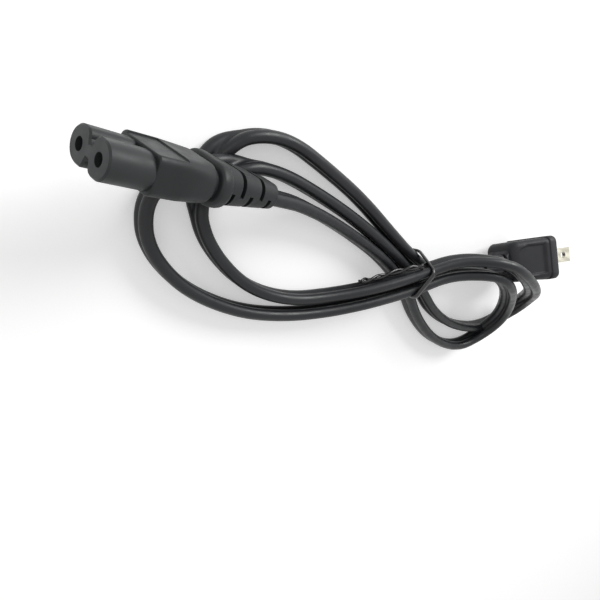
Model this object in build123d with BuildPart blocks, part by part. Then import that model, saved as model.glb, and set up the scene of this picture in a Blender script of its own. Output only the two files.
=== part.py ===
from build123d import *
from math import pi, radians, tan
import os

# Power cord: a two-pole appliance connector, a flat twin lead laid up in two lobes
# and tied at the waist, and a moulded plug with two flat blades.
# Millimetres, +Z up, table at Z = 0. The connector points along -X, the plug along +X.

# Flat twin lead, standing on its edge
lead_core = 3.8
lead_pitch = 3.5
lead_width = lead_pitch + lead_core
bend_share = 0.45
lead_in = 9.3

# Clearances
fit_gap = 0.1
wrap_gap = 0.2
wrap_slant = 1.2

# Appliance connector: lobed nose
lobe_diameter = 8.2
lobe_pitch = 8.6
notch_width = 1.8
web_thickness = 3.0
lobe_corner = 1.8
nose_length = 12.0
nose_edge = 0.4
tail_width = 13.0
tail_thickness = 5.0
tail_length = 8.0
pin_hole_diameter = 3.0
pin_hole_depth = 2.5
chamber_diameter = 3.6

# Appliance connector: spring contacts
contact_bore = 2.4
contact_wall = 0.35
contact_length = 10.0
contact_slit = 0.5
contact_slit_length = 8.0
crimp_length = 3.5
crimp_diameter = 2.2

# Appliance connector: moulded body
body_width = 17.0
body_thickness = 8.8
body_length = 18.0
body_corner = 2.6
body_edge = 0.6
neck_length = 1.2
neck_depth = 0.8
collar_length = 4.8
collar_rise = 0.9
collar_edge = 1.2
pad_rise = 0.4
pad_length = 6.7
pad_inset = 1.2

# Strain reliefs, connector end then plug end
relief_length = 19.0
relief_root_width = 16.0
relief_root_thickness = 9.2
relief_tip_width = 9.4
relief_tip_thickness = 6.2
plug_relief_length = 20.0
plug_relief_root_width = 12.6
plug_relief_root_thickness = 9.4
slot_width = 1.0
slot_pitch = 2.9
slot_first = 3.4
slot_core_gap = 0.5
slot_rail = 1.3
relief_corner = 2.0

# Plug body
plug_length = 27.0
plug_front_width = 24.5
plug_rear_width = 18.6
plug_front_thickness = 17.3
plug_rear_thickness = 16.2
plug_corner = 2.4
flange_length = 3.0
flange_rise = 0.5
flange_edge = 0.8
grip_length = 15.5
grip_width = 12.0
grip_depth = 0.9
grip_front_margin = 2.4

# Blades and the inner bridge that carries them
blade_width = 6.35
blade_thickness = 1.5
blade_pitch = 12.7
blade_length = 17.0
blade_root = 9.0
blade_tip_chamfer = 0.55
blade_hole_diameter = 3.0
blade_hole_from_tip = 5.0
blade_tab_width = 3.2
blade_tab_length = 4.5
bridge_depth = 5.0
bridge_width = 18.6
bridge_thickness = 10.0
bridge_corner = 1.6

# Tie round the waist of the bundle
tie_width = 2.6
tie_thickness = 0.5
tie_tail_length = 17.0
tie_tail_diameter = 1.6

# The lead's way from the connector to the plug, in order
lead_points = [
    (-26, -1, 6), (-8.5, -5.5, 3.7), (8.5, -11.5, 3.7), (22.5, -20.5, 5.6), (36.5, -32.5, 3.7),
    (53, -42, 3.7), (73, -45.5, 3.7), (90, -40.5, 5.5), (93, -28, 12.5), (79, -18, 18.5),
    (58.5, -12, 24), (44.5, -6, 22.5), (32.5, -10, 15.5), (18, -18.5, 12.7), (1.5, -26, 9.5),
    (-14.5, -32, 6), (-31.5, -35.5, 3.7), (-49.5, -35, 3.7), (-68, -29.5, 3.7), (-82, -17, 3.7),
    (-85.5, -3, 4), (-83, 8.5, 7.5), (-72.5, 14.5, 12), (-58, 12.5, 11.5), (-43.5, 8, 6),
    (-29.5, 5.5, 3.7), (-15, 1.5, 3.7), (1, -4, 3.7), (16.5, -11, 4.8), (31.5, -20, 5.3),
    (46.5, -29.5, 3.7), (64.5, -35, 4), (83.5, -32.5, 3.7), (98, -22.5, 5.5), (98.5, -12.5, 16),
    (82.5, -8.5, 28.5), (62.5, -4, 33.5), (45.5, 0, 27), (32.5, -3.5, 17.5), (19, -11.5, 13.6),
    (3, -19.5, 10.5), (-13, -26, 6), (-30, -30, 3.7), (-48, -27, 3.7), (-65, -18, 3.7),
    (-76, -3.5, 3.7), (-75, 10.5, 3.7), (-64, 18, 3.7), (-49, 19, 3.7), (-32, 14.5, 3.7),
    (-13.5, 8, 3.7), (3.5, 0, 3.7), (19.5, -8, 5.2),
]

# The tie crosses the strands at this X
tie_x = 21.5

# Where the connector and the plug lie: each plane's Z runs along the piece,
# backwards from the mating face on the connector and towards the blades on the plug
nose_face = Plane(origin=(-103.6, 3.0, 24.5), x_dir=(-0.2249, 0.1740, -0.9587), z_dir=(0.9725, -0.0214, -0.2320))
plug_rear = Plane(origin=(61.2, -4.6, 10.84), x_dir=(-0.2003, 0.9013, -0.3840), z_dir=(0.9534, 0.2697, 0.1356))

shoulder = nose_length
neck_start = shoulder + body_length
collar_start = neck_start + neck_length
relief_start = collar_start + collar_length
connector_exit = relief_start + relief_length
lobe_offset = lobe_pitch / 2
lobe_radius = lobe_diameter / 2

# Lobed insert: two round lobes with flats facing each other, a web between them and a square tail
with BuildPart() as connector_insert:
    with BuildSketch(nose_face):
        with Locations((-lobe_offset, 0), (lobe_offset, 0)):
            Circle(lobe_radius)
        squared = lobe_offset - notch_width / 2 + lobe_corner
        with Locations((-(notch_width + squared) / 2, 0), ((notch_width + squared) / 2, 0)):
            RectangleRounded(squared, lobe_diameter, lobe_corner)
        Rectangle(lobe_pitch, web_thickness)
    extrude(amount=nose_length)
    front = connector_insert.faces().sort_by(Axis(nose_face.origin, nose_face.z_dir))[0]
    chamfer(front.edges(), nose_edge)
    with BuildSketch(nose_face.offset(shoulder)):
        Rectangle(tail_width, tail_thickness)
    extrude(amount=tail_length)
    with BuildSketch(nose_face):
        with Locations((-lobe_offset, 0), (lobe_offset, 0)):
            Circle(pin_hole_diameter / 2)
    extrude(amount=pin_hole_depth, mode=Mode.SUBTRACT)
    with BuildSketch(nose_face.offset(pin_hole_depth)):
        with Locations((-lobe_offset, 0), (lobe_offset, 0)):
            Circle(chamber_diameter / 2)
    extrude(amount=shoulder + tail_length - pin_hole_depth, mode=Mode.SUBTRACT)
connector_insert.part.label = "connector_insert"

# Spring contacts: a slit sleeve that grips the pin and a crimped barrel behind it
contacts = {}
for name, side in (("contact_upper", -1), ("contact_lower", 1)):
    with BuildPart() as contact:
        sleeve = nose_face.offset(pin_hole_depth)
        with BuildSketch(sleeve):
            with Locations((side * lobe_offset, 0)):
                Circle(contact_bore / 2 + contact_wall)
        extrude(amount=contact_length)
        with BuildSketch(sleeve.offset(contact_length)):
            with Locations((side * lobe_offset, 0)):
                Circle(crimp_diameter / 2)
        extrude(amount=crimp_length)
        with BuildSketch(sleeve):
            with Locations((side * lobe_offset, 0)):
                Circle(contact_bore / 2)
        extrude(amount=contact_length - contact_wall, mode=Mode.SUBTRACT)
        with BuildSketch(sleeve):
            with Locations((side * (lobe_offset + contact_bore / 2), 0)):
                Rectangle(contact_bore, contact_slit)
        extrude(amount=contact_slit_length, mode=Mode.SUBTRACT)
    contact.part.label = name
    contacts[name] = contact.part

# Moulded body: block with a raised pad, neck, collar and a slotted strain relief
with BuildPart() as connector_body:
    with BuildSketch(nose_face.offset(shoulder)):
        RectangleRounded(body_width, body_thickness, body_corner)
    extrude(amount=body_length)
    along = Axis(nose_face.origin, nose_face.z_dir)
    fillet(connector_body.faces().sort_by(along)[0].edges(), body_edge)
    with BuildSketch(nose_face.offset(neck_start)):
        RectangleRounded(body_width - 2 * neck_depth, body_thickness - 2 * neck_depth, body_corner - neck_depth)
    extrude(amount=neck_length)
    with BuildSketch(nose_face.offset(collar_start)):
        RectangleRounded(body_width + 2 * collar_rise, body_thickness + 2 * collar_rise, body_corner + collar_rise)
    extrude(amount=collar_length)
    fillet(connector_body.faces().sort_by(along)[-1].edges(), collar_edge)
    with BuildSketch(nose_face.offset(relief_start)):
        RectangleRounded(relief_root_width, relief_root_thickness, relief_corner)
    with BuildSketch(nose_face.offset(connector_exit)):
        RectangleRounded(relief_tip_width, relief_tip_thickness, relief_corner)
    loft()
    pad_plane = Plane(origin=nose_face.from_local_coords(Vector(0, body_thickness / 2, shoulder)),
                      x_dir=nose_face.x_dir, z_dir=nose_face.y_dir)
    with BuildSketch(pad_plane):
        with Locations((0, -pad_length / 2 - body_edge / 2)):
            Rectangle(body_width - 2 * body_corner, pad_length - body_edge)
    extrude(amount=pad_rise)
    with BuildSketch(nose_face.offset(shoulder)):
        Rectangle(tail_width, tail_thickness)
    extrude(amount=tail_length, mode=Mode.SUBTRACT)
    for step in range(5):
        at = relief_start + slot_first + step * slot_pitch
        with BuildSketch(nose_face.offset(at)):
            if step % 2 == 0:
                Rectangle(relief_root_width - 2 * slot_rail * (1 + step / 2), relief_root_thickness)
                Rectangle(relief_root_width, lead_core + 2 * slot_core_gap, mode=Mode.SUBTRACT)
            else:
                Rectangle(relief_root_width, relief_root_thickness - 2 * slot_rail * (1 + step / 6))
                Rectangle(lead_width + 2 * slot_core_gap, relief_root_thickness, mode=Mode.SUBTRACT)
        extrude(amount=slot_width, mode=Mode.SUBTRACT)
connector_body.part.label = "connector_body"

# Plug: tapered block with a front flange, a D-shaped grip on each narrow side and a slotted relief
body_front = plug_length - flange_length
front_half = plug_front_width / 2 - flange_rise
rear_half = plug_rear_width / 2
with BuildPart() as plug_body:
    with BuildSketch(plug_rear):
        RectangleRounded(plug_rear_thickness, plug_rear_width, plug_corner)
    with BuildSketch(plug_rear.offset(body_front)):
        RectangleRounded(plug_front_thickness - 2 * flange_rise, 2 * front_half, plug_corner)
    loft()
    plug_along = Axis(plug_rear.origin, plug_rear.z_dir)
    fillet(plug_body.faces().sort_by(plug_along)[0].edges(), flange_edge)
    with BuildSketch(plug_rear.offset(body_front)):
        RectangleRounded(plug_front_thickness, plug_front_width, plug_corner)
    extrude(amount=flange_length)
    fillet(plug_body.faces().sort_by(plug_along)[-1].edges(), flange_edge)
    with BuildSketch(plug_rear):
        RectangleRounded(plug_relief_root_thickness, plug_relief_root_width, relief_corner)
    with BuildSketch(plug_rear.offset(-plug_relief_length)):
        RectangleRounded(relief_tip_thickness, relief_tip_width, relief_corner)
    loft()
    side_slope = (front_half - rear_half) / body_front
    for side in (-1, 1):
        middle = plug_rear.from_local_coords(Vector(0, side * (rear_half + front_half) / 2, body_front / 2))
        outward = side * plug_rear.y_dir - side_slope * plug_rear.z_dir
        grip_plane = Plane(origin=middle, x_dir=-side * plug_rear.x_dir, z_dir=outward)
        grip_front = body_front / 2 - grip_front_margin
        grip_straight = grip_length - grip_width / 2
        with BuildSketch(grip_plane):
            with Locations((0, grip_front - grip_straight / 2)):
                Rectangle(grip_width, grip_straight)
            with Locations((0, grip_front - grip_straight)):
                Circle(grip_width / 2)
        extrude(amount=-grip_depth, mode=Mode.SUBTRACT)
    for step in range(5):
        at = -slot_first - step * slot_pitch - slot_width
        with BuildSketch(plug_rear.offset(at)):
            if step % 2 == 0:
                Rectangle(plug_relief_root_thickness, plug_relief_root_width - 2 * slot_rail * (1 + step / 6))
                Rectangle(lead_core + 2 * slot_core_gap, plug_relief_root_width, mode=Mode.SUBTRACT)
            else:
                Rectangle(plug_relief_root_thickness - 2 * slot_rail * (1 + step / 6), plug_relief_root_width)
                Rectangle(plug_relief_root_thickness, lead_width + 2 * slot_core_gap, mode=Mode.SUBTRACT)
        extrude(amount=slot_width, mode=Mode.SUBTRACT)
    with BuildSketch(plug_rear.offset(plug_length)):
        RectangleRounded(bridge_thickness, bridge_width, bridge_corner)
    extrude(amount=-bridge_depth, mode=Mode.SUBTRACT)
    for side in (-1, 1):
        with BuildSketch(plug_rear.offset(plug_length - blade_root)):
            with Locations((0, side * blade_pitch / 2)):
                Rectangle(blade_width, blade_thickness)
        extrude(amount=blade_root, mode=Mode.SUBTRACT)
        with BuildSketch(plug_rear.offset(plug_length - blade_root - blade_tab_length)):
            with Locations((0, side * blade_pitch / 2)):
                Rectangle(blade_tab_width, blade_thickness)
        extrude(amount=blade_tab_length, mode=Mode.SUBTRACT)
plug_body.part.label = "plug_body"

# Inner bridge that holds the blades, flush with the plug's front
with BuildPart() as blade_bridge:
    with BuildSketch(plug_rear.offset(plug_length)):
        RectangleRounded(bridge_thickness, bridge_width, bridge_corner)
        with Locations((0, -blade_pitch / 2), (0, blade_pitch / 2)):
            Rectangle(blade_width, blade_thickness, mode=Mode.SUBTRACT)
    extrude(amount=-bridge_depth)
blade_bridge.part.label = "blade_bridge"

# Blades: flat, chamfered tip, locating hole, crimp tab at the root
blades = {}
for name, side in (("blade_lower", -1), ("blade_upper", 1)):
    with BuildPart() as blade:
        with BuildSketch(plug_rear.offset(plug_length - blade_root)):
            with Locations((0, side * blade_pitch / 2)):
                Rectangle(blade_width, blade_thickness)
        extrude(amount=blade_root + blade_length)
        chamfer(blade.faces().sort_by(plug_along)[-1].edges(), blade_tip_chamfer)
        with BuildSketch(plug_rear.offset(plug_length - blade_root - blade_tab_length)):
            with Locations((0, side * blade_pitch / 2)):
                Rectangle(blade_tab_width, blade_thickness)
        extrude(amount=blade_tab_length)
        hole_at = plug_length + blade_length - blade_hole_from_tip
        hole_plane = Plane(origin=plug_rear.from_local_coords(Vector(0, side * blade_pitch / 2, hole_at)),
                           x_dir=plug_rear.x_dir, z_dir=plug_rear.y_dir)
        with BuildSketch(hole_plane):
            Circle(blade_hole_diameter / 2)
        extrude(amount=blade_thickness, both=True, mode=Mode.SUBTRACT)
    blade.part.label = name
    blades[name] = blade.part

# Route of the lead: out of the connector, under the waist, twice round both lobes, into the plug
exit_point = nose_face.from_local_coords(Vector(0, 0, connector_exit))
entry_point = plug_rear.from_local_coords(Vector(0, 0, -plug_relief_length))
route = [exit_point, exit_point + lead_in * nose_face.z_dir]
route += [Vector(*point) for point in lead_points]
route += [entry_point - lead_in * plug_rear.z_dir, entry_point]

# Each bend is as wide as its two runs allow
radii = []
for before, corner, after in zip(route, route[1:], route[2:]):
    turn = radians((corner - before).get_angle(after - corner))
    shorter = min((corner - before).length, (after - corner).length)
    radii.append(bend_share * shorter / tan(turn / 2))
with BuildLine() as lead_path:
    FilletPolyline(*route, radius=radii)
lead_wire = lead_path.wires()[0]

# The flat section stands upright at both ends of every straight run and every arc
spans = []
for span in lead_wire.edges():
    with BuildSketch(Plane(origin=span @ 0, z_dir=span % 0, x_dir=(0, 0, 1))) as span_start:
        SlotOverall(lead_width, lead_core)
    with BuildSketch(Plane(origin=span @ 1, z_dir=span % 1, x_dir=(0, 0, 1))) as span_end:
        SlotOverall(lead_width, lead_core)
    spans.append(sweep([span_start.sketch, span_end.sketch], path=span, multisection=True))
with BuildPart() as cord:
    add(spans)
cord.part.label = "cord"
section = lead_pitch * lead_core + pi * lead_core ** 2 / 4
print("bend radii, mm:", " ".join(f"{radius:.0f}" for radius in radii))
print(f"lead length {lead_wire.length:.1f} mm, volume {cord.part.volume:.0f} mm3,",
      f"section times length {section * lead_wire.length:.0f} mm3")

# Tie: a thin band drawn round the strands at the waist, its twisted end laid back along them
tie_plane = Plane(origin=(tie_x - tie_width / 2, 0, 0), x_dir=(0, 1, 0), z_dir=(1, 0, 0))
seats = []
for rim in (tie_plane, tie_plane.offset(tie_width)):
    for span in lead_wire.edges():
        for strand in span.intersect(rim) or []:
            seats.append((strand.Y, strand.Z - lead_pitch / 2))
            seats.append((strand.Y, strand.Z + lead_pitch / 2))
with BuildPart() as cord_tie:
    with BuildSketch(tie_plane):
        with Locations(*seats):
            Circle(wrap_slant * lead_core / 2 + wrap_gap + tie_thickness)
        make_hull()
    extrude(amount=tie_width)
    with BuildSketch(tie_plane):
        with Locations(*seats):
            Circle(wrap_slant * lead_core / 2 + wrap_gap)
        make_hull()
    extrude(amount=tie_width, mode=Mode.SUBTRACT)
cord_tie.part.label = "cord_tie"

os.makedirs("parts", exist_ok=True)
export_step(connector_insert.part, "parts/connector_insert.step")
export_step(connector_body.part, "parts/connector_body.step")
for name, piece in list(contacts.items()) + list(blades.items()):
    export_step(piece, f"parts/{name}.step")
export_step(plug_body.part, "parts/plug_body.step")
export_step(blade_bridge.part, "parts/blade_bridge.step")
export_step(cord.part, "parts/cord.step")
export_step(cord_tie.part, "parts/cord_tie.step")
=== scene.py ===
import math

import bpy
from mathutils import Matrix, Vector


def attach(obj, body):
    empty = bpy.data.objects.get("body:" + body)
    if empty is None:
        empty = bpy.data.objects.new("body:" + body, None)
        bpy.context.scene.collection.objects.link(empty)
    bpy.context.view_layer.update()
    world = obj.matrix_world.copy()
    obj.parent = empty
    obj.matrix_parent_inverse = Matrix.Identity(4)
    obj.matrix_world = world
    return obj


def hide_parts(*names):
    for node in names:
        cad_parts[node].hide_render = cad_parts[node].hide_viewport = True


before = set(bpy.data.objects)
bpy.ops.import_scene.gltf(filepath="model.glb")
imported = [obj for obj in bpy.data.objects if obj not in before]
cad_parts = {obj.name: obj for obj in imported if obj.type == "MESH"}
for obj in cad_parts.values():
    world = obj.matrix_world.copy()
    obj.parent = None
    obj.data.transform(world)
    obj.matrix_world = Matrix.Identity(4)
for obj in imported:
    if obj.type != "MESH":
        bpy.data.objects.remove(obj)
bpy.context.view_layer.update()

UP = Vector((0, 0, 1))
MM = 0.001

# Poses of the two mouldings, as the model has them
nose = Vector((-0.1036, 0.003, 0.0245))
nose_back = Vector((0.9725, -0.0214, -0.2320)).normalized()
nose_down = Vector((-0.2249, 0.1740, -0.9587)).normalized()
nose_side = nose_back.cross(nose_down).normalized()
plug = Vector((0.0612, -0.0046, 0.01084))
plug_ahead = Vector((0.9534, 0.2697, 0.1356)).normalized()
plug_across = Vector((-0.2003, 0.9013, -0.3840)).normalized()
plug_up = plug_ahead.cross(plug_across).normalized()

# The lead's way from the connector to the plug, in metres, its points given one by one
route = [
    (-0.05498, 0.00193, 0.0129), (-0.05011, 0.00182, 0.01174), (-0.04107, 0.00162, 0.00958),
    (-0.026, -0.001, 0.006), (-0.0085, -0.0055, 0.0037), (0.0085, -0.0115, 0.0037),
    (0.0225, -0.0205, 0.0056), (0.0365, -0.0325, 0.0037), (0.053, -0.042, 0.0037),
    (0.073, -0.0455, 0.0037), (0.0845, -0.0385, 0.0055), (0.0855, -0.027, 0.012),
    (0.0771, -0.0171, 0.0175), (0.0555, -0.0082, 0.0268), (0.046, -0.0056, 0.025),
    (0.0325, -0.01, 0.0155), (0.018, -0.0185, 0.0127), (0.0015, -0.026, 0.0095),
    (-0.0145, -0.032, 0.006), (-0.0315, -0.0355, 0.0037), (-0.0495, -0.035, 0.0037),
    (-0.068, -0.0295, 0.0037), (-0.0805, -0.0195, 0.0037), (-0.0838, -0.0085, 0.0037),
    (-0.0805, -0.0005, 0.0048), (-0.0695, 0.0048, 0.0061), (-0.058, 0.0083, 0.0058),
    (-0.046, 0.0087, 0.0044), (-0.0305, 0.0056, 0.0037), (-0.015, 0.0015, 0.0037),
    (0.001, -0.004, 0.0037), (0.0165, -0.011, 0.0048), (0.0315, -0.02, 0.0053),
    (0.0465, -0.0295, 0.0037), (0.0645, -0.035, 0.004), (0.0874, -0.0351, 0.0037),
    (0.1029, -0.0251, 0.0055), (0.0983, -0.0148, 0.014), (0.0775, -0.0085, 0.0263),
    (0.0556, -0.0019, 0.03), (0.0455, 0, 0.027), (0.0325, -0.0035, 0.0175),
    (0.019, -0.0115, 0.0136), (0.003, -0.0195, 0.0105), (-0.013, -0.026, 0.006),
    (-0.03, -0.03, 0.0037), (-0.048, -0.027, 0.0037), (-0.0625, -0.0172, 0.0037),
    (-0.0693, -0.007, 0.0041), (-0.0697, 0.0045, 0.0021), (-0.065, 0.0123, 0.003),
    (-0.056, 0.0172, 0.004), (-0.045, 0.0179, 0.0037), (-0.032, 0.0142, 0.0037),
    (-0.0135, 0.008, 0.0037), (0.0035, 0, 0.0037), (0.0195, -0.008, 0.0052),
    (0.03327, -0.0125, 0.00687), (0.04213, -0.00999, 0.00813),
]


# Objects and meshes
def new_object(name, data):
    item = bpy.data.objects.new(name, data)
    bpy.context.scene.collection.objects.link(item)
    return item


def tube_faces(rows, count, first=0, ring=False):
    """Faces through rows of count points each, with end caps unless the last row meets the first"""
    faces = []
    for row in range(rows if ring else rows - 1):
        here = first + row * count
        there = first + (row + 1) % rows * count
        for index in range(count):
            after = (index + 1) % count
            faces.append((here + index, here + after, there + after, there + index))
    if not ring:
        last = first + (rows - 1) * count
        faces.append(tuple(reversed(range(first, first + count))))
        faces.append(tuple(range(last, last + count)))
    return faces


def skin(name, vertices, faces, finish):
    """A smoothly shaded object from its points and faces, in one material"""
    data = bpy.data.meshes.new(name)
    data.from_pydata(vertices, [], faces)
    for polygon in data.polygons:
        polygon.use_smooth = True
    data.materials.append(finish)
    return new_object(name, data)


def eased(value):
    """0 to 1 with a soft start and a soft end"""
    value = min(max(value, 0.0), 1.0)
    return value * value * (3 - 2 * value)


# Materials: each is varied by noise over the object's own coordinates, which are in metres
NOISE_LOW = 0.35
NOISE_HIGH = 0.65


def material(name, colour, roughness, specular=0.5):
    made = bpy.data.materials.new(name)
    made.use_nodes = True
    shader = made.node_tree.nodes["Principled BSDF"]
    shader.inputs["Base Color"].default_value = (*colour, 1)
    shader.inputs["Roughness"].default_value = roughness
    shader.inputs["Specular IOR Level"].default_value = specular
    return made, made.node_tree, shader


def noise(tree, scale, detail, stretch=(1, 1, 1)):
    place = tree.nodes.new("ShaderNodeTexCoord")
    turn = tree.nodes.new("ShaderNodeMapping")
    turn.inputs["Scale"].default_value = stretch
    grain = tree.nodes.new("ShaderNodeTexNoise")
    grain.inputs["Scale"].default_value = scale
    grain.inputs["Detail"].default_value = detail
    tree.links.new(place.outputs["Object"], turn.inputs["Vector"])
    tree.links.new(turn.outputs["Vector"], grain.inputs["Vector"])
    return grain.outputs["Fac"]


def spread(tree, source, low, high):
    """The noise's usual range, widened to low and high"""
    ramp = tree.nodes.new("ShaderNodeMapRange")
    ramp.inputs["From Min"].default_value = NOISE_LOW
    ramp.inputs["From Max"].default_value = NOISE_HIGH
    ramp.inputs["To Min"].default_value = low
    ramp.inputs["To Max"].default_value = high
    tree.links.new(source, ramp.inputs["Value"])
    return ramp.outputs["Result"]


def tint(tree, shader, source, dark, pale):
    """Colour that drifts between two shades"""
    mix = tree.nodes.new("ShaderNodeMix")
    mix.data_type = "RGBA"
    mix.inputs["A"].default_value = (*dark, 1)
    mix.inputs["B"].default_value = (*pale, 1)
    tree.links.new(spread(tree, source, 0, 1), mix.inputs["Factor"])
    tree.links.new(mix.outputs["Result"], shader.inputs["Base Color"])


def wear(tree, shader, source, glossy, dull):
    """Roughness that drifts between two levels"""
    tree.links.new(spread(tree, source, glossy, dull), shader.inputs["Roughness"])


def bump(tree, shader, source, strength, distance):
    relief = tree.nodes.new("ShaderNodeBump")
    relief.inputs["Strength"].default_value = strength
    relief.inputs["Distance"].default_value = distance
    tree.links.new(source, relief.inputs["Height"])
    tree.links.new(relief.outputs["Normal"], shader.inputs["Normal"])


def moulded(name, dark, pale, glossy, dull, grain, depth, specular=0.5):
    """Moulded plastic: clouded colour, uneven gloss and a fine grain"""
    made, tree, shader = material(name, dark, glossy, specular)
    tint(tree, shader, noise(tree, scale=90, detail=3), dark, pale)
    wear(tree, shader, noise(tree, scale=240, detail=5), glossy, dull)
    bump(tree, shader, noise(tree, scale=grain, detail=6), strength=0.35, distance=depth)
    return made


def metal(name, dark, pale, glossy, dull, stretch):
    """Metal with streaks along the direction that stretch makes coarser"""
    made, tree, shader = material(name, dark, glossy)
    shader.inputs["Metallic"].default_value = 1
    streak = noise(tree, scale=700, detail=4, stretch=stretch)
    tint(tree, shader, streak, dark, pale)
    wear(tree, shader, streak, glossy, dull)
    bump(tree, shader, streak, strength=0.2, distance=0.00003)
    return made


connector_plastic = moulded("connector_plastic", dark=(0.013, 0.0148, 0.0155), pale=(0.019, 0.021, 0.022),
                            glossy=0.40, dull=0.54, grain=2600, depth=0.00006, specular=0.27)
insert_plastic = moulded("insert_plastic", dark=(0.022, 0.0245, 0.0255), pale=(0.028, 0.031, 0.032),
                         glossy=0.40, dull=0.52, grain=3000, depth=0.00004, specular=0.27)
plug_plastic = moulded("plug_plastic", dark=(0.015, 0.0155, 0.018), pale=(0.021, 0.0215, 0.025),
                       glossy=0.42, dull=0.55, grain=2600, depth=0.00006, specular=0.24)
bridge_plastic = moulded("bridge_plastic", dark=(0.024, 0.025, 0.027), pale=(0.03, 0.031, 0.034),
                         glossy=0.5, dull=0.62, grain=2600, depth=0.00005)
blade_metal = metal("blade_metal", dark=(0.50, 0.48, 0.40), pale=(0.60, 0.58, 0.50),
                    glossy=0.28, dull=0.42, stretch=(0.15, 1, 1))
contact_metal = metal("contact_metal", dark=(0.50, 0.37, 0.16), pale=(0.62, 0.47, 0.22),
                      glossy=0.3, dull=0.45, stretch=(0.2, 1, 1))

# The lead's skin: near-black vinyl with a soft, uneven gloss
lead_vinyl, tree, shader = material("lead_vinyl", (0.014, 0.015, 0.017), roughness=0.36, specular=0.33)
tint(tree, shader, noise(tree, scale=60, detail=3), dark=(0.011, 0.012, 0.014), pale=(0.017, 0.018, 0.020))
wear(tree, shader, noise(tree, scale=300, detail=4), glossy=0.30, dull=0.46)
bump(tree, shader, noise(tree, scale=1500, detail=5), strength=0.25, distance=0.00005)

# The tie: glossy black plastic
tie_plastic, tree, shader = material("tie_plastic", (0.012, 0.012, 0.013), roughness=0.2)
wear(tree, shader, noise(tree, scale=500, detail=4), glossy=0.14, dull=0.3)
bump(tree, shader, noise(tree, scale=1800, detail=3), strength=0.2, distance=0.00004)

# The solids that are shown as the model has them
for node, finish in (
    ("connector_insert", insert_plastic), ("blade_bridge", bridge_plastic),
    ("blade_upper", blade_metal), ("blade_lower", blade_metal),
    ("contact_upper", contact_metal), ("contact_lower", contact_metal),
):
    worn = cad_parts[node].data.materials
    worn.clear()
    worn.append(finish)

# Outlines of the mouldings, in millimetres, drawn corner by corner in this order
CORNERS = ((1, 1), (-1, 1), (-1, -1), (1, -1))
SHARP_ANGLE = math.radians(38)
# What an outline keeps flat beside its corners at least, and how near its wide side a point counts as on it
corner_slack = 0.02
flat_slack = 0.01


def corner_arc(turn, flat_first, flat_second, radius, steps):
    """One rounded corner, between two of the outline's flat sides"""
    first_side, second_side = CORNERS[turn]
    points = []
    for step in range(steps + 1):
        angle = math.radians(90 * turn + 90 * step / steps)
        points.append((first_side * flat_first + radius * math.cos(angle),
                       second_side * flat_second + radius * math.sin(angle)))
    return points


def moulding(name, rings, place, finish):
    """Closed moulding through rings of equal length, each a distance and the outline there"""
    vertices = [place(at, *point) for at, points in rings for point in points]
    # These outlines turn the other way than the lead's does
    faces = [face[::-1] for face in tube_faces(len(rings), len(rings[0][1]))]
    item = skin(name, vertices, faces, finish)
    item.data.set_sharp_from_angle(angle=SHARP_ANGLE)
    return item


# Connector body: distances behind the nose's face, half heights, half thicknesses and corner radii.
# An edge is a list of distances, each with how far the outline is set in there.
body_tall = 8.5
body_thick = 4.75
body_corner = 2.2
body_front = ((10.05, 0.5), (10.1, 0.22), (10.22, 0.07), (10.45, 0.0))
body_corners = ((17.5, 2.25), (19.5, 2.7), (22.5, 3.4), (25.0, 4.2))
body_back = ((25.45, 0.08), (25.75, 0.3), (25.9, 0.62))
body_back_corner = 4.3
# The sunk field on the near face is open to the front and to one narrow side
field_marks = (12.0, 14.5, 17.4)
field_depth = 0.4
field_front_rise = 0.15
field_wall = 6.1
field_wall_slope = 0.05
field_wall_room = 0.1
neck_tall = 7.6
neck_thick = 3.8
neck_corner = 3.7
neck_marks = (26.0, 26.95)
collar_tall = 9.25
collar_thick = 5.4
collar_corner = 5.2
collar_edge = ((27.05, 0.9), (27.2, 0.4), (27.5, 0.12), (28.0, 0.0),
               (29.4, 0.0), (30.1, 0.15), (30.6, 0.5), (30.8, 0.85))
# The strain relief tapers, and its flex slots are cut in turn from each broad side down to a core
NEAR = "near"
FAR = "far"
relief_front = 30.8
relief_back = 50.0
relief_tall = 7.85
relief_tall_taper = 2.65
relief_thick = 4.75
relief_thick_taper = 1.3
relief_roundness = 0.92
relief_first = 30.85
relief_last_marks = (48.9, 49.4)
relief_tip = ((49.75, 0.2), (50.0, 0.6))
slots = ((31.4, FAR), (34.7, NEAR), (38.4, FAR), (42.2, NEAR), (45.9, FAR))
slot_width = 1.4
slot_wall = 0.02
slot_margin = 0.15
# Each slot's floor, from the middle towards the near side, as a share of the half thickness
slot_floor = {NEAR: -0.1, FAR: -0.15}
# How far the moulding lies to the near side of the nose: more towards its back, up to a limit
body_shift = 0.05
body_shift_slope = 0.02
body_shift_most = 0.7


def rounded(half_tall, half_thick, corner, wall):
    """Rounded outline with two points close together at the field's wall, and as many in all at any size"""
    corner = min(corner, half_thick - corner_slack, half_tall - corner_slack)
    flat_tall = half_tall - corner
    flat_thick = half_thick - corner
    points = []
    for turn in range(len(CORNERS)):
        points += corner_arc(turn, flat_tall, flat_thick, corner, steps=8)
        if turn == 0:
            points += [(wall + field_wall_slope, half_thick), (wall - field_wall_slope, half_thick)]
            points += [(flat_tall * share, half_thick) for share in (0.4, 0.0, -0.4, -0.8)]
    return points


def body_ring(at, tall, thick, corner, sunk=0.0):
    """One ring of the body, neck or collar, with its near face sunk up to the field's wall"""
    wall = min(field_wall, tall - corner - field_wall_room)
    points = rounded(tall, thick, corner, wall)
    if sunk:
        points = [(down, min(side, thick - sunk)) if down < wall else (down, side) for down, side in points]
    return at, points


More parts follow.
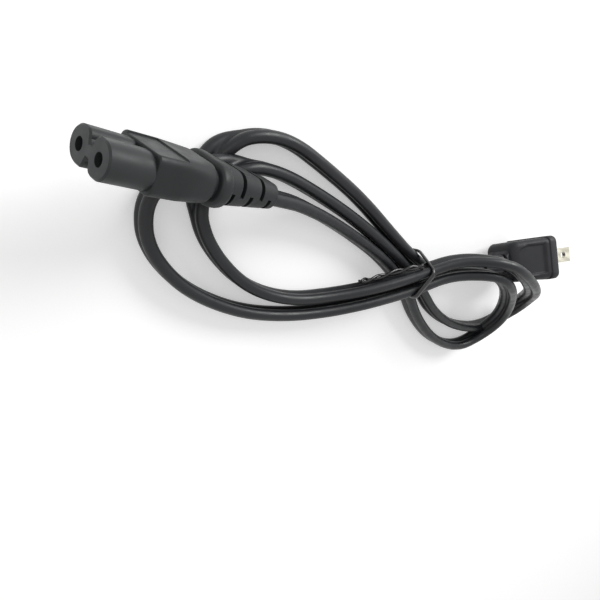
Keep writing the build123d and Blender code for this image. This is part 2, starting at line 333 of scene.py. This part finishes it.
def relief_ring(at, slot=None, inset=0.0):
    """One ring of the strain relief, cut down to its core where a slot is"""
    share = (at - relief_front) / (relief_back - relief_front)
    tall = relief_tall - relief_tall_taper * share
    thick = relief_thick - relief_thick_taper * share
    outer = rounded(tall - inset, thick - inset, (thick - inset) * relief_roundness, wall=tall / 2)
    if slot is None:
        return at, outer
    core = rounded(half_tall=4.1, half_thick=2.3, corner=2.2, wall=2.0)
    floor_side = slot_floor[slot] * thick
    cut = [side > floor_side if slot == NEAR else side < floor_side for down, side in outer]
    return at, [inner if gone else kept for inner, kept, gone in zip(core, outer, cut)]


def connector_rings():
    rings = []
    for at, inset in body_front:
        sunk = field_depth - min(inset / 2, field_front_rise)
        rings.append(body_ring(at, body_tall - inset, body_thick - inset, body_corner, sunk))
    for at in field_marks:
        rings.append(body_ring(at, body_tall, body_thick, body_corner, field_depth))
    for at, corner in body_corners:
        rings.append(body_ring(at, body_tall, body_thick, corner))
    for at, inset in body_back:
        rings.append(body_ring(at, body_tall - inset, body_thick - inset, body_back_corner - inset))
    for at in neck_marks:
        rings.append(body_ring(at, neck_tall, neck_thick, neck_corner))
    for at, inset in collar_edge:
        rings.append(body_ring(at, collar_tall - inset, collar_thick - inset, collar_corner - inset))
    rings.append(relief_ring(relief_first))
    for start, slot in slots:
        end = start + slot_width
        rings += [relief_ring(start - slot_margin), relief_ring(start), relief_ring(start + slot_wall, slot),
                  relief_ring(end - slot_wall, slot), relief_ring(end)]
    rings += [relief_ring(at) for at in relief_last_marks]
    rings += [relief_ring(at, inset=inset) for at, inset in relief_tip]
    return rings


def connector_place(at, down, side):
    shift = min(body_shift + body_shift_slope * at, body_shift_most)
    return nose + (nose_back * at + nose_down * down + nose_side * (side + shift)) * MM


connector_shell = moulding("connector_shell", connector_rings(), connector_place, connector_plastic)
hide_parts("connector_body")
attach(connector_shell, "root")

# Plug body: a wedge with a finger grip sunk in each wide side, a front rim and a slotted strain relief.
# Its distances run ahead from its origin, and the relief's tip lies behind that.
# A gain is how much a half size grows up to the wedge's front, or from the relief's tip to its root.
wedge_front = 25.0
wedge_thick = 8.4
wedge_thick_gain = 0.4
wedge_wide = 4.6
wedge_wide_gain = 7.15
wedge_corner = 2.6
wedge_steps = 36
shoulder = ((8.0, 3.4), (8.1, 2.6), (8.5, 1.6), (9.2, 0.8), (10.2, 0.25), (11.2, 0.0))
# How much of an inset is taken from the shoulder's width and from its corners
shoulder_wide_share = 0.4
shoulder_corner_share = 0.3
rim = ((25.05, 0.0), (25.2, -0.3), (25.5, -0.45), (28.5, -0.45), (29.0, -0.3),
       (29.3, 0.1), (29.4, 0.8), (29.35, 1.2), (28.9, 1.35))
grip_front = 23.6
grip_back = 16.0
grip_radius = 6.4
grip_depth = 0.8
grip_edge = 0.7
wide_side_steps = 48
plug_relief_tip = -20.8
plug_relief_length = 28.8
plug_relief_step = 5.6
plug_relief_steps = 5
plug_relief_thick = 3.0
plug_relief_thick_gain = 0.8
plug_relief_wide = 4.2
plug_relief_wide_gain = 1.5
plug_relief_corner = 1.9
# One step of the relief: distances from its start, and whether the slot is there
plug_relief_marks = ((0, False), (3.4, False), (3.45, True), (4.9, True), (4.95, False))
plug_core_thick = 2.3
plug_core_wide = 4.0
plug_core_corner = 2.0
plug_slot_reach = 1.6
plug_shift = -0.15


def plug_outline(half_thick, half_wide, corner, grip_at=None):
    """Outline across the plug, dense on its wide sides, with the grips pressed in if grip_at is a distance"""
    flat_thick = half_thick - corner
    flat_wide = half_wide - corner
    points = []
    for turn, (thick_side, wide_side) in enumerate(CORNERS):
        points += corner_arc(turn, flat_thick, flat_wide, corner, steps=6)
        if turn in (0, 2):
            for step in range(1, wide_side_steps):
                share = 1 - 2 * step / wide_side_steps
                points.append((share * flat_thick * thick_side, half_wide * wide_side))
    if grip_at is None:
        return points
    pressed = []
    for across, up in points:
        inside = min(grip_radius - abs(across), grip_front - grip_at)
        if grip_at < grip_back:
            inside = grip_radius - math.hypot(across, grip_back - grip_at)
        if abs(up) > half_wide - flat_slack and inside > 0:
            up -= math.copysign(grip_depth * eased(inside / grip_edge), up)
        pressed.append((across, up))
    return pressed


def slotted(outline, side):
    """The relief's outline, cut down to its core from one wide side to past the middle"""
    core = plug_outline(plug_core_thick, plug_core_wide, plug_core_corner)
    cut = []
    for (across, up), inner in zip(outline, core):
        if up * side <= -plug_slot_reach:
            cut.append((across, up))
        elif abs(up) > plug_core_wide:
            cut.append(inner)
        else:
            cut.append((max(min(across, plug_core_thick), -plug_core_thick), up))
    return cut


def plug_rings():
    rings = []
    # Relief, from its tip to the wedge
    for step in range(plug_relief_steps):
        for distance, slot in plug_relief_marks:
            at = plug_relief_tip + step * plug_relief_step + distance
            share = (at - plug_relief_tip) / plug_relief_length
            thick = plug_relief_thick + plug_relief_thick_gain * share
            wide = plug_relief_wide + plug_relief_wide_gain * share
            outline = plug_outline(thick, wide, plug_relief_corner)
            rings.append((at, slotted(outline, (-1) ** step) if slot else outline))
    # Shoulder and wedge
    marks = [(at, inset, None) for at, inset in shoulder]
    start = shoulder[-1][0]
    for step in range(1, wedge_steps + 1):
        at = start + (wedge_front - start) * step / wedge_steps
        marks.append((at, 0.0, at))
    for at, inset, grip_at in marks:
        share = at / wedge_front
        thick = wedge_thick + wedge_thick_gain * share - inset
        wide = wedge_wide + wedge_wide_gain * share - inset * shoulder_wide_share
        rings.append((at, plug_outline(thick, wide, wedge_corner - inset * shoulder_corner_share, grip_at)))
    for at, inset in rim:
        thick = wedge_thick + wedge_thick_gain - inset
        wide = wedge_wide + wedge_wide_gain - inset
        rings.append((at, plug_outline(thick, wide, wedge_corner)))
    return rings


def plug_place(at, across, up):
    return plug + (plug_ahead * at + plug_across * (across + plug_shift) + plug_up * up) * MM


plug_shell = moulding("plug_shell", plug_rings(), plug_place, plug_plastic)
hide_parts("plug_body")
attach(plug_shell, "root")

# Lead: two round cores side by side with a groove between them, drawn along the spline through the route
core_radius = 0.0019
core_offset = 0.00175
core_steps = 14
groove_edge = 0.0007
groove_half_thick = 0.00105
# How far from each end the lead keeps some of its moulding's tilt
connector_tilt_reach = 0.05
plug_tilt_reach = 0.06
# Where two strands lie flat, one on the other, under the connector, and how long each takes to roll over
flat_places = (Vector((-0.0692, 0.0045, 0.0057)), Vector((-0.0692, 0.0045, 0.0021)))
roll_reach = 0.015


def drawn_path():
    """Points along the spline through the route"""
    line = bpy.data.curves.new("lead_line", "CURVE")
    line.dimensions = "3D"
    line.resolution_u = 14
    spline = line.splines.new("NURBS")
    spline.points.add(len(route) - 1)
    for point, place in zip(spline.points, route):
        point.co = (*place, 1)
    spline.order_u = 3
    spline.use_endpoint_u = True
    guide = bpy.data.objects.new("lead_line", line)
    drawn = bpy.data.meshes.new_from_object(guide)
    found = [vertex.co.copy() for vertex in drawn.vertices]
    bpy.data.meshes.remove(drawn)
    bpy.data.objects.remove(guide)
    return found


def section():
    """Outline across the lead: how far along its tall direction and across it each point lies"""
    groove = math.acos((core_offset - groove_edge) / core_radius)
    outline = []
    for end in (1, -1):
        for step in range(core_steps + 1):
            angle = -math.pi + groove + 2 * (math.pi - groove) * step / core_steps
            along = core_offset + core_radius * math.cos(angle)
            outline.append((end * along, end * core_radius * math.sin(angle)))
        outline.append((0.0, end * groove_half_thick))
    return outline


def lead_sections(path, travel):
    """The section at each point: tilted as the mouldings are at both ends, and upright between them"""
    outline = section()
    flat_at = []
    for place in flat_places:
        nearest = min(range(len(path)), key=lambda index: (path[index] - place).length)
        flat_at.append(travel[nearest])
    found = []
    for index, here in enumerate(path):
        ahead = (path[min(index + 1, len(path) - 1)] - path[max(index - 1, 0)]).normalized()
        tall = UP.lerp(-nose_down, max(0.0, 1 - travel[index] / connector_tilt_reach))
        tall = tall.lerp(plug_up, max(0.0, 1 - (travel[-1] - travel[index]) / plug_tilt_reach))
        tall = (tall - ahead * tall.dot(ahead)).normalized()
        rolled = sum(eased(1 - abs(travel[index] - at) / roll_reach) for at in flat_at)
        tall = Matrix.Rotation(math.radians(90) * rolled, 3, ahead) @ tall
        wide = ahead.cross(tall)
        found.append([here + tall * along + wide * across for along, across in outline])
    return found


path = drawn_path()
travel = [0.0]
for here, there in zip(path, path[1:]):
    travel.append(travel[-1] + (there - here).length)
sections = lead_sections(path, travel)
lead_faces = tube_faces(len(sections), len(sections[0]))
lead = skin("lead", [point for ring in sections for point in ring], lead_faces, lead_vinyl)
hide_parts("cord")
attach(lead, "root")

# Tie: a ribbon pulled round the strands where they cross its plane
tie_centre = Vector((0.0182, -0.015, 0.008))
tie_ahead = Vector((0.95, -0.31, 0.0)).normalized()
tie_side = UP.cross(tie_ahead)
tie_half_width = 0.0011
tie_half_thick = 0.0004
# How far the ribbon stays off the strands and off the table, and how far from its centre a strand may be
tie_room = 0.0009
tie_floor_gap = 0.00005
tie_reach = 0.03
# Across the ribbon, with the wire's ridge in the middle: shares of its half width and half thickness
ribbon = ((-1, -0.5), (-0.85, -1), (0, -0.7), (0.85, -1), (1, -0.5),
          (1, 0.5), (0.85, 1), (0, 1.5), (-0.85, 1), (-1, 0.5))


def hull(points):
    """The convex outline round the points"""
    points = sorted(set(points))
    found = []
    for order in (points, points[::-1]):
        chain = []
        for point in order:
            while len(chain) > 1 and ((chain[-1][0] - chain[-2][0]) * (point[1] - chain[-2][1])
                                      - (chain[-1][1] - chain[-2][1]) * (point[0] - chain[-2][0])) <= 0:
                chain.pop()
            chain.append(point)
        found += chain[:-1]
    return found


def tie_loop():
    """The ribbon's middle line in the tie's plane, measured from the tie's centre"""
    seats = []
    for index in range(len(path) - 1):
        before, after = [(path[at] - tie_centre).dot(tie_ahead) for at in (index, index + 1)]
        if before * after <= 0 and abs((path[index] - tie_centre).dot(tie_side)) < tie_reach:
            for point in sections[index]:
                seat = point - tie_centre
                seats.append((seat.dot(tie_side), seat.z))
    around = [math.radians(turn) for turn in range(0, 360, 15)]
    return hull([(side + tie_room * math.cos(angle), up + tie_room * math.sin(angle))
                 for side, up in seats for angle in around])


def ribbon_points(loop):
    found = []
    for index, (side, up) in enumerate(loop):
        before = loop[index - 1]
        after = loop[(index + 1) % len(loop)]
        normal = Vector((after[1] - before[1], before[0] - after[0])).normalized()
        for width, height in ribbon:
            out = normal * (tie_half_thick * height)
            base = tie_centre + tie_side * (side + out.x) + UP * (up + out.y)
            base.z = max(base.z, tie_floor_gap)
            found.append(base + tie_ahead * (tie_half_width * width))
    return found


loop = tie_loop()
tie_band = skin("tie_band", ribbon_points(loop), tube_faces(len(loop), len(ribbon), ring=True), tie_plastic)
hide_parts("cord_tie")
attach(tie_band, "root")

# The tie's two ends, twisted together along a line that lies on the strands
tail_line = [Vector(place) for place in (
    (0.0168, -0.0092, 0.015), (0.0135, -0.0106, 0.0134), (0.0085, -0.0131, 0.0115),
    (0.003, -0.016, 0.0101), (-0.0025, -0.0182, 0.0095), (-0.0062, -0.019, 0.0095),
)]
tail_turns = 2.2
tail_offset = 0.00055
tail_radius = 0.0005
tail_steps = 90
tail_sides = 10


def tail_points(strand):
    """Points of one of the two ends, which are half a turn apart"""
    found = []
    for step in range(tail_steps + 1):
        where = step / tail_steps * (len(tail_line) - 1)
        index = min(int(where), len(tail_line) - 2)
        centre = tail_line[index].lerp(tail_line[index + 1], where - index)
        ahead = (tail_line[index + 1] - tail_line[index]).normalized()
        side = ahead.cross(UP).normalized()
        up = side.cross(ahead)
        turn = math.radians(360 * tail_turns * step / tail_steps + 180 * strand)
        out = side * math.cos(turn) + up * math.sin(turn)
        for corner in range(tail_sides):
            angle = math.radians(360 * corner / tail_sides)
            round_side = side * math.cos(angle) + up * math.sin(angle)
            found.append(centre + out * tail_offset + round_side * tail_radius)
    return found


vertices = []
faces = []
for strand in range(2):
    faces += tube_faces(tail_steps + 1, tail_sides, first=len(vertices))
    vertices += tail_points(strand)
tie_ends = skin("tie_ends", vertices, faces, tie_plastic)
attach(tie_ends, "root")


# Floor, backdrop and light
def seen_rays(tree):
    """1 for what is seen directly, mirrored or through glass, and 0 for the light that falls on the object"""
    rays = tree.nodes.new("ShaderNodeLightPath")
    found = rays.outputs["Is Camera Ray"]
    for kind in ("Is Glossy Ray", "Is Transmission Ray"):
        either = tree.nodes.new("ShaderNodeMath")
        either.operation = "MAXIMUM"
        tree.links.new(found, either.inputs[0])
        tree.links.new(rays.outputs[kind], either.inputs[1])
        found = either.outputs[0]
    return found


floor_half = 3
floor_colour = (0.84, 0.84, 0.84, 1)
floor_glow = 0.36
world_light = 0.46

floor_mesh = bpy.data.meshes.new("floor")
floor_mesh.from_pydata([(x * floor_half, y * floor_half, 0) for x, y in ((-1, -1), (1, -1), (1, 1), (-1, 1))],
                       [], [(0, 1, 2, 3)])
floor = new_object("floor", floor_mesh)
floor_paint = bpy.data.materials.new("floor_paint")
floor_paint.use_nodes = True
tree = floor_paint.node_tree
tree.nodes.clear()
matte = tree.nodes.new("ShaderNodeBsdfDiffuse")
matte.inputs["Color"].default_value = floor_colour
level = tree.nodes.new("ShaderNodeMath")
level.operation = "MULTIPLY"
level.inputs[1].default_value = floor_glow
glow = tree.nodes.new("ShaderNodeEmission")
both = tree.nodes.new("ShaderNodeAddShader")
out = tree.nodes.new("ShaderNodeOutputMaterial")
tree.links.new(seen_rays(tree), level.inputs[0])
tree.links.new(level.outputs[0], glow.inputs["Strength"])
tree.links.new(matte.outputs[0], both.inputs[0])
tree.links.new(glow.outputs[0], both.inputs[1])
tree.links.new(both.outputs[0], out.inputs["Surface"])
floor_mesh.materials.append(floor_paint)

world = bpy.data.worlds.new("studio")
bpy.context.scene.world = world
world.use_nodes = True
tree = world.node_tree
sky = tree.nodes["Background"]
sky.inputs["Color"].default_value = (1, 1, 1, 1)
strength = tree.nodes.new("ShaderNodeMapRange")
strength.inputs["To Min"].default_value = world_light
strength.inputs["To Max"].default_value = 1.0
tree.links.new(seen_rays(tree), strength.inputs["Value"])
tree.links.new(strength.outputs["Result"], sky.inputs["Strength"])


def lamp(name, place, size, power):
    """A round soft lamp that points at the middle of the scene"""
    data = bpy.data.lights.new(name, "AREA")
    data.shape = "DISK"
    data.size = size
    data.energy = power
    item = new_object(name, data)
    item.location = place
    item.rotation_euler = (-Vector(place)).to_track_quat("-Z", "Y").to_euler()


lamp("key", place=(0.42, 0.8, 0.54), size=0.6, power=9.2)
lamp("fill", place=(-0.7, 0.2, 0.8), size=0.6, power=1.2)

# Camera: rolled view from above the connector's end
eye = bpy.data.cameras.new("camera")
eye.lens = 30
eye.sensor_width = 36
eye.clip_start = 0.005
eye_place = Vector((-0.12947, 0.01088, 0.12950))
back = Vector((-0.6205, 0.2412, 0.7462)).normalized()
right = Vector((0.7809, 0.2767, 0.5600))
right = (right - back * right.dot(back)).normalized()
top = back.cross(right)
camera = new_object("camera", eye)
camera.matrix_world = Matrix((
    (right.x, top.x, back.x, eye_place.x),
    (right.y, top.y, back.y, eye_place.y),
    (right.z, top.z, back.z, eye_place.z),
    (0, 0, 0, 1)))
bpy.context.scene.camera = camera
bpy.context.scene.view_settings.view_transform = "Standard"
